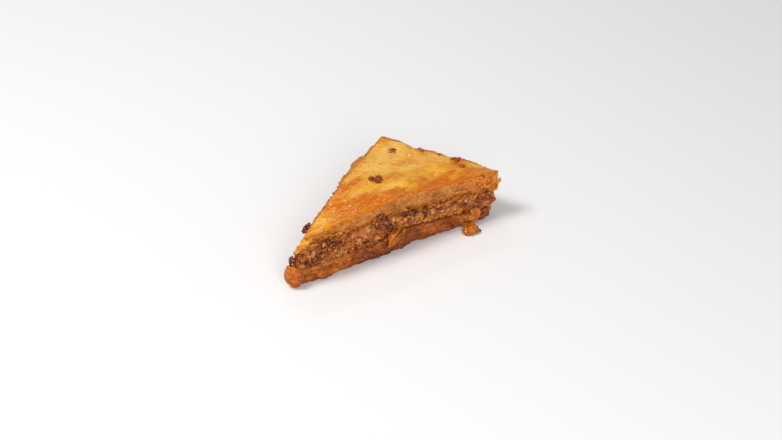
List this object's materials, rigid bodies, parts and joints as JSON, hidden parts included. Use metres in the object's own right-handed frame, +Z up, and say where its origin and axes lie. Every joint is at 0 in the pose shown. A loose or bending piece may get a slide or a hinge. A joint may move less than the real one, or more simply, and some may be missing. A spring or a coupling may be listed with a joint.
{
  "type": "baklava slice",
  "caption": "Triangular slice of baklava with a stack of syrup-soaked pastry sheets, a coarse ground nut filling and a domed, glazed top stack with nut crumbs.",
  "frame": {"origin": "centre of the bounding box in plan, on the surface that the slice rests on", "axes": "+X runs along the long cut from the thin tip to the far end, +Y points away from the long cut to the square corner, +Z points up"},
  "size_m": [0.1326, 0.0716, 0.0335],
  "materials": {
    "soaked_pastry": "brown pastry sheets soaked in syrup, wet and glossy",
    "nuts": "coarse ground walnuts bound with syrup",
    "golden_pastry": "golden baked pastry sheets with a glossy syrup glaze"
  },
  "bodies": {
    "root": {"bottom_pastry": "soaked_pastry", "nut_filling": "nuts", "top_pastry": "golden_pastry"}
  },
  "joints": []
}
